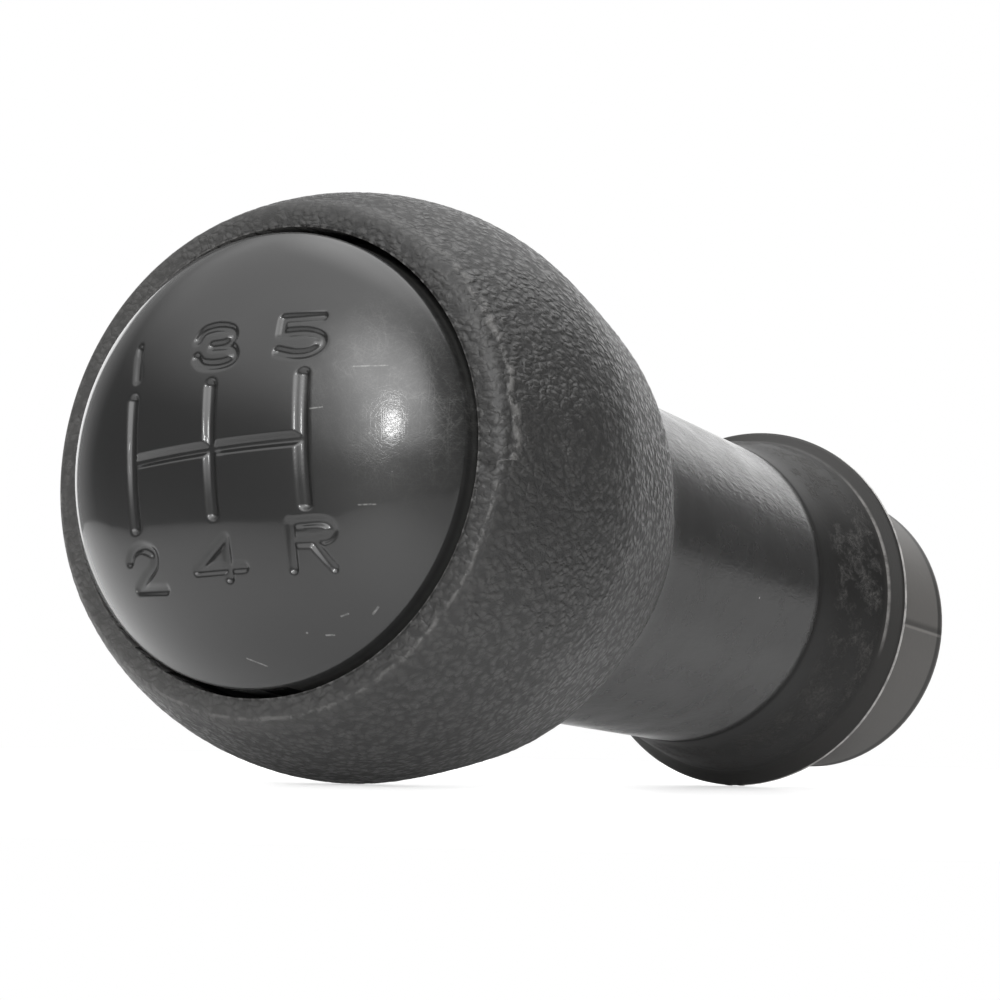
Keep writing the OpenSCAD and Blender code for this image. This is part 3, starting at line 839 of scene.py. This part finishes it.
# %% Edge of the cap
SKIRT_TOP, LEGS_END = 92.0, 70.0
last_radius = cap_line[-1][0]
edge_line = np.vstack([cap_line[cap_line[:, 1] <= FACE_FOOT],
                       [[last_radius, SKIRT_TOP], [last_radius + 1, SKIRT_TOP], [last_radius + 1, LEGS_END]]])
n = CAP_GRID + 1
faces = [(a, a + 1, a + 1 + n, a + n) for row in range(CAP_GRID) for a in range(row * n, row * n + CAP_GRID)]
rim = [k for k in range(CAP_GRID)]
rim += [CAP_GRID + k * n for k in range(CAP_GRID)]
rim += [n * n - 1 - k for k in range(CAP_GRID)]
rim += [n * (n - 1) - k * n for k in range(CAP_GRID)]
rim_angle = np.arctan2(gy[rim], gx[rim])
points = [np.column_stack([gx, gy, gz])]
start = n * n
for r, z in edge_line:
    points.append(np.column_stack([r * np.cos(rim_angle), r * np.sin(rim_angle), np.full(len(rim), z)]))
    ring = list(range(start, start + len(rim)))
    faces += [(rim[k - 1], ring[k - 1], ring[k], rim[k]) for k in range(len(rim))]
    rim, start = ring, start + len(rim)
points.append([[0, 0, edge_line[-1][1]]])
faces += [(start, rim[k], rim[k - 1]) for k in range(len(rim))]
cap = dressed("pattern_cap", mesh_object("cap", np.vstack(points) * MM, faces), "cap")

# %% [markdown]
# Years of palms have polished the cap and scratched it.
# Where the hand rests, above right of the middle, the gloss is hazy. The haze is a place, so it is made as
# a distance from a point, with a noise to break its edge.

# %% Haze on the cap
WORN_AT, WORN_CORE, WORN_REACH = (0.0150, 0.0030, 0.1020), 0.002, 0.0125
gloss, t = material("gloss_black_look")
place, _, _, z = t.place()
worn = t.spread(t.distance(place, WORN_AT), WORN_CORE, WORN_REACH, 1.0, 0.0)
worn = t.times(worn, t.spread(t.noise(place, 260.0, 5.0, 0.6), 0.35, 0.62, 0.45, 1.0))
print("haze reaches, mm:", round(WORN_REACH / MM, 1))

# %% [markdown]
# Hair-fine scratches run every way through the haze.
# A noise stretched some thirty times as long as it is wide gives streaks that look drawn. Seven of them, each
# turned a little further, cross like the wipes of a cloth.

# %% Hair-fine scratches
HAIR_WAYS = 7
HAIR_SIZE = (1 / 90, 1 / 2600, 1 / 500)
HAIR_WIDTH = 0.03
hairs = []
for k in range(HAIR_WAYS):
    lain = t.moved(place, location=(0.013 * k, 0.007 * k, 0.0), scale=HAIR_SIZE,
                   rotation=(0, 0, math.pi * k / HAIR_WAYS + 0.2), kind="TEXTURE")
    wave = t.noise(lain, 1.0, 1.0)
    hairs.append(t.spread(t.maths("ABSOLUTE", t.minus(wave, 0.5)), 0.0, HAIR_WIDTH, 1.0, 0.0))
hair = t.times(t.plus(*hairs), t.blend(worn, 0.12, 1.0))
print("ways of the hair-fine scratches:", len(hairs))

# %% [markdown]
# A few longer scratches were measured: where each lies, how it is turned and half its length.
# Each is the set of points near a short straight line. The line is laid along the first axis of its own
# turned place, so the distance to it takes one subtraction and one length.

# %% Longer scratches
SCRATCHES = [((0.0133, 0.0052), 0.0, 0.0012), ((0.0093, 0.0019), 0.05, 0.0005),
             ((0.0091, -0.0145), 0.3, 0.0003), ((0.0113, -0.0142), 0.75, 0.0004),
             ((0.0074, -0.0159), 0.0, 0.0003), ((0.0004, -0.0174), -0.45, 0.0008),
             ((0.0128, -0.0062), 0.0, 0.0006)]
SCRATCH_CORE, SCRATCH_FADE = 0.00002, 0.00009
lines = []
for (sx, sy), turn_by, half in SCRATCHES:
    lain = t.moved(place, location=(sx, sy, 0), rotation=(0, 0, turn_by), kind="TEXTURE")
    px, py = t.parts(lain)[:2]
    past_end = t.most(t.minus(t.maths("ABSOLUTE", px), half), 0.0)
    gap = t.add("ShaderNodeCombineXYZ", {0: past_end, 1: py})
    off = t.add("ShaderNodeVectorMath", {0: gap}, operation="LENGTH").outputs["Value"]
    lines.append(t.spread(off, SCRATCH_CORE, SCRATCH_FADE, 1.0, 0.0))
marks = t.times(t.most(*lines), t.spread(t.noise(place, 3000.0), 0.35, 0.6, 0.3, 1.0))
print("longer scratches:", len(lines))

# %% [markdown]
# Specks of dust lie here and there, and a smear shows where a thumb slid off.
# Every cell of a Voronoi noise has a random colour. Only cells above a high value of it get a speck, which
# scatters a few dots with no order.

# %% Specks, smear and dust
SPECK_SCALE, SPECK_CHANCE = 520.0, 0.93
SMEAR_AT, SMEAR_REACH, SMEAR_LEVEL = (0.0140, -0.0060, 0.1020), 0.0095, 0.016
EDGE_DUST, EDGE_DUST_LEVEL = (0.0970, 0.0980), 0.03
specks = t.cells(place, SPECK_SCALE)
draw = t.add("ShaderNodeSeparateColor", {0: specks.outputs["Color"]}).outputs[0]
speck = t.times(t.spread(specks.outputs["Distance"], 0.03, 0.07, 1.0, 0.0),
                t.maths("GREATER_THAN", draw, SPECK_CHANCE))
pale = t.most(t.times(marks, 0.5), t.times(speck, 0.4))
cloud = t.spread(t.noise(place, 90.0, 5.0), 0.3, 0.7, 0.85, 1.15)
smeared = t.times(t.spread(t.distance(place, SMEAR_AT), 0.0, SMEAR_REACH, SMEAR_LEVEL, 0.0), cloud)
edge_dust = t.spread(z, *EDGE_DUST, EDGE_DUST_LEVEL, 0.0)
print("share of the cells that hold a speck:", round(1 - SPECK_CHANCE, 2))

# %% [markdown]
# The gloss is a clear layer over a black body.
# One shader could be black and shiny, but the haze would then dull the mirror as well. A coat keeps its
# mirror over the whole cap, and only the body under it turns grey and rough where the palm has been.

# %% Cap finish
CLEAN_LEVEL, HAZE_LEVEL, HAIR_LEVEL, PALE_LEVEL = 0.003, 0.018, 0.022, 0.3
CLEAN_ROUGH, HAZE_ROUGH, COAT_ROUGH, CAP_SPECULAR = 0.5, 0.28, 0.05, 0.42
RIPPLE_DEPTH = 0.000012
level = t.plus(t.times(cloud, t.blend(worn, CLEAN_LEVEL, HAZE_LEVEL)), t.plus(smeared, edge_dust))
level = t.plus(level, t.times(hair, worn, HAIR_LEVEL), t.times(pale, PALE_LEVEL))
ripple = t.bump(t.minus(t.times(t.noise(place, 350.0, 2.0), 0.5), t.times(hair, 0.13)), RIPPLE_DEPTH)
t.finish(Base_Color=t.greyish(level), Roughness=t.blend(worn, CLEAN_ROUGH, HAZE_ROUGH),
         Specular_IOR_Level=CAP_SPECULAR, Coat_Weight=1.0, Coat_Roughness=COAT_ROUGH,
         Normal=ripple, Coat_Normal=ripple)
paint(cap, gloss)

# %% [markdown]
# The knob rests on its ball and on the thin lip of its collar.
# The table top is therefore the one plane that touches both, a few degrees off the lever's axis. It could
# be worked out from the sizes. It is found from the pieces' own points instead, by halving: tilt the
# plane until neither of the two reaches further than the other.

# %% Where the table lies
DOWN = Vector((-UP.x, -UP.y, 0)).normalized()
LEVER = Vector((0, 0, 1))
MOST_TILT, HALVINGS = math.radians(30), 40
TABLE_REACH, TABLE_CORNERS, TABLE_GAP = 0.32, 72, 0.00002


def reach(piece, way):
    return float((points_of(piece) @ np.array(way)).max())


def sole(tilt):
    return DOWN * math.cos(tilt) - LEVER * math.sin(tilt)


low_tilt, high_tilt = 0.0, MOST_TILT
for _ in range(HALVINGS):
    tilt = (low_tilt + high_tilt) / 2
    if reach(collar, sole(tilt)) < reach(grip, sole(tilt)):
        low_tilt = tilt
    else:
        high_tilt = tilt
table_up = -sole(tilt)
table_depth = reach(grip, sole(tilt)) + TABLE_GAP
print("table tilt, degrees:", round(math.degrees(tilt), 2), "depth, mm:", round(table_depth / MM, 2))

# %% [markdown]
# The table is one round sheet, wide enough for the whole picture.
# It is staging and not a piece of the knob.

# %% Table top
across = table_up.cross(LEVER).normalized()
forward = table_up.cross(across)
table_middle = sole(tilt) * table_depth
table_rim = [2 * math.pi * k / TABLE_CORNERS for k in range(TABLE_CORNERS)]
table_points = [table_middle + (across * math.cos(a) + forward * math.sin(a)) * TABLE_REACH
                for a in table_rim]
table = mesh_object("table", table_points, [tuple(range(TABLE_CORNERS))])
if table.data.polygons[0].normal.dot(table_up) < 0:
    table.data.flip_normals()
print("table reaches, m:", TABLE_REACH)

# %% [markdown]
# The table has to look plain white and still take the knob's faint shadow and reflection.
# The camera sees a mix of three things: a lit surface, which takes the shadow, a glow, which lifts it to
# white, and a weak sheen, which mirrors the knob's underside. The knob itself sees a table that is bright
# below it and, as painted shade, dimmer towards the camera and the right, which the cap's own reflection
# shows.

# %% Table finish
SEEN_LIT, SEEN_GLOW, HIDDEN_GLOW = 0.5, 0.8, 0.15
SHEEN_SHARE, SHEEN_ROUGH = 0.33, 0.18
WHITE = (1, 1, 1, 1)
table_white, t = material("table_white")
seen = t.seen()
spot = t.place()[0]
nearer, beside = t.dot(spot, -LOOK), t.dot(spot, RIGHT)
away = t.most(nearer, t.times(t.maths("ABSOLUTE", beside), 0.8))
# Painted shade: the table's colour is dimmer towards the camera and the right.
shaded_table_tone = t.times(t.spread(away, 0.08, 0.30, 0.86, 0.3), t.spread(beside, -0.035, 0.03, 1.0, 0.5))
lit = t.add("ShaderNodeBsdfDiffuse", {"Color": t.blend(seen, shaded_table_tone, SEEN_LIT)})
glow = t.add("ShaderNodeEmission", {"Color": WHITE, "Strength": t.blend(seen, HIDDEN_GLOW, SEEN_GLOW)})
both = t.add("ShaderNodeAddShader", {0: lit, 1: glow})
sheen = t.add("ShaderNodeBsdfGlossy", {"Color": WHITE, "Roughness": SHEEN_ROUGH})
top_side = t.add("ShaderNodeMixShader", {0: t.times(seen, SHEEN_SHARE), 1: both, 2: sheen})
print("sheen for the camera:", SHEEN_SHARE)

# %% [markdown]
# From below, the table can be seen through.
# Other views than the portrait may look from under the table top, and it should hide nothing there.

# %% Underside of the table
under = t.add("ShaderNodeNewGeometry").outputs["Backfacing"]
clear = t.add("ShaderNodeBsdfTransparent")
t.add("ShaderNodeOutputMaterial", {0: t.add("ShaderNodeMixShader", {0: under, 1: top_side, 2: clear})})
paint(table, table_white)

# %% [markdown]
# The studio is read from the cap, which mirrors it.
# It has a white table, a dim room at eye level, a broad soft light overhead, a white screen far behind the
# knob, a soft light high behind it and one small lamp over the camera's right shoulder. All but the lamp
# are far away, so they are painted on the world as functions of the direction.

# %% Directions in the studio
world = bpy.data.worlds.new("studio")
bpy.context.scene.world = world
t = Tree(world)
way = t.add("ShaderNodeTexCoord").outputs["Generated"]


def sine(degrees):
    return math.sin(math.radians(degrees))


def cosine(degrees):
    return math.cos(math.radians(degrees))


def from_camera(turned_by, height):
    """A direction, from straight behind the camera round to the right and up from eye level, in degrees."""
    level = -LOOK * math.cos(math.radians(turned_by)) + RIGHT * math.sin(math.radians(turned_by))
    return level * math.cos(math.radians(height)) + UP * sine(height)


height = t.dot(way, UP)
backward = t.dot(way, LOOK)
rightward = t.dot(way, RIGHT)
level_share = t.maths("SQRT", t.minus(1.0, t.times(height, height)))
print("eye level, straight ahead:", [round(part, 2) for part in from_camera(180, 0)])

# %% [markdown]
# The ceiling is the broad light that the top of the cap mirrors.
# It brightens with height, starts higher on the right, and fades towards the back, where a faint haze
# goes all the way down.

# %% Ceiling
CEILING_START, CEILING_START_RIGHT, CEILING_DEPTH = sine(20), sine(44), 0.33
CEILING_LOW, CEILING_HIGH = 0.2, 1.42
BACK_HAZE = 0.33
sideways = t.maths("DIVIDE", rightward, level_share)
screened = t.spread(sideways, 0.55, 0.85)
ceiling_start = t.blend(screened, CEILING_START, CEILING_START_RIGHT)
ceiling = t.spread(t.minus(height, ceiling_start), 0.0, CEILING_DEPTH, CEILING_LOW, CEILING_HIGH)
fading = t.maths("MINIMUM", 1.0, t.minus(0.9, t.times(backward, 0.65)))
ceiling = t.times(ceiling, t.most(0.5, fading))
ceiling = t.most(ceiling, t.spread(backward, 0.3, 0.8, 0.0, BACK_HAZE))
print("ceiling starts, as sines of the height:", round(CEILING_START, 2), round(CEILING_START_RIGHT, 2))

# %% [markdown]
# Two soft boxes are discs of light with blurred edges.
# The one above the camera lays the broad glow on the cap. The one high behind the knob brings out the
# grain along the head's upper edge.

# %% Soft boxes
FRONT_BOX, FRONT_WIDE, FRONT_CORE, FRONT_LEVEL = from_camera(6, 30), cosine(44), cosine(8), 2.6
BACK_BOX, BACK_WIDE, BACK_CORE, BACK_LEVEL = from_camera(146, 54), cosine(36), cosine(14), 1.15
front_box = t.spread(t.dot(way, FRONT_BOX), FRONT_WIDE, FRONT_CORE, 0.0, FRONT_LEVEL)
front_box = t.times(front_box, t.spread(height, sine(11), sine(22)), t.minus(1.0, screened))
back_box = t.spread(t.dot(way, BACK_BOX), BACK_WIDE, BACK_CORE, 0.0, BACK_LEVEL)
print("height of the front box, as a sine:", round(FRONT_BOX.dot(UP), 2), "of the back box:",
      round(BACK_BOX.dot(UP), 2))

# %% [markdown]
# The screen behind the knob is what makes its upper edges shine.
# It has sharp sides, thirty degrees to each side of its middle, and a soft top that rises to the right.

# %% Screen
SCREEN_MIDDLE, SCREEN_HALF, SCREEN_BLUR = 175, 30, 0.8
SCREEN_LEVEL, ABOVE_SCREEN = 1.6, 0.1
towards = t.maths("DIVIDE", t.dot(way, from_camera(SCREEN_MIDDLE, 0)), level_share)
screen = t.spread(towards, cosine(SCREEN_HALF + SCREEN_BLUR), cosine(SCREEN_HALF - SCREEN_BLUR))
screen_top = t.spread(rightward, -0.15, 0.2, sine(14), sine(24))
screen = t.times(screen, t.spread(t.minus(height, screen_top), -0.04, 0.06, SCREEN_LEVEL, ABOVE_SCREEN))
print("screen, degrees wide:", 2 * SCREEN_HALF)

# %% [markdown]
# Below eye level the world goes on as the white floor.
# The camera itself sees plain white all round, through a light path, so that the background is white and
# never has to be lit.

# %% Room
FLOOR_LEVEL = 1.25
FLOOR_EDGE = sine(-4.0)
FLOOR_FRONT, FLOOR_BACK = sine(-15), sine(-4.6)
above = t.plus(t.most(ceiling, screen), t.plus(front_box, back_box))
edge_low = t.spread(backward, -0.25, 0.15, FLOOR_FRONT, FLOOR_BACK)
over_edge = t.maths("DIVIDE", t.minus(height, edge_low), t.minus(FLOOR_EDGE, edge_low))
room = t.blend(t.spread(over_edge, 0.0, 1.0), FLOOR_LEVEL, above)
glow = t.add("ShaderNodeBackground", {"Color": WHITE, "Strength": t.blend(t.seen(), room, 1.0)})
t.add("ShaderNodeOutputWorld", {0: glow})
print("studio nodes:", len(t.tree.nodes))

# %% [markdown]
# The lamp is the one hard light, a soft spot in the middle of the haze on the cap.
# It stands a metre away and is as large as a small reflector, which sets how wide the spot is. A point
# lamp would give a pin prick.

# %% Lamp
LAMP_DISTANCE, LAMP_WIDTH, LAMP_HEIGHT = 1.0, 0.16, 0.22
LAMP_POWER = 1.65
lamp_way = from_camera(8, 25)
lamp_data = bpy.data.lights.new("key_lamp", "AREA")
lamp_data.shape = "ELLIPSE"
lamp_data.size = LAMP_WIDTH
lamp_data.size_y = LAMP_HEIGHT
lamp_data.energy = LAMP_POWER
lamp = bpy.data.objects.new("key_lamp", lamp_data)
bpy.context.scene.collection.objects.link(lamp)
aim = (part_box("pattern_cap")[0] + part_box("pattern_cap")[1]) / 2
lamp.location = aim + lamp_way * LAMP_DISTANCE
lamp.rotation_euler = lamp_way.to_track_quat("Z", "Y").to_euler()
print("lamp at, m:", [round(v, 3) for v in lamp.location])

# %% [markdown]
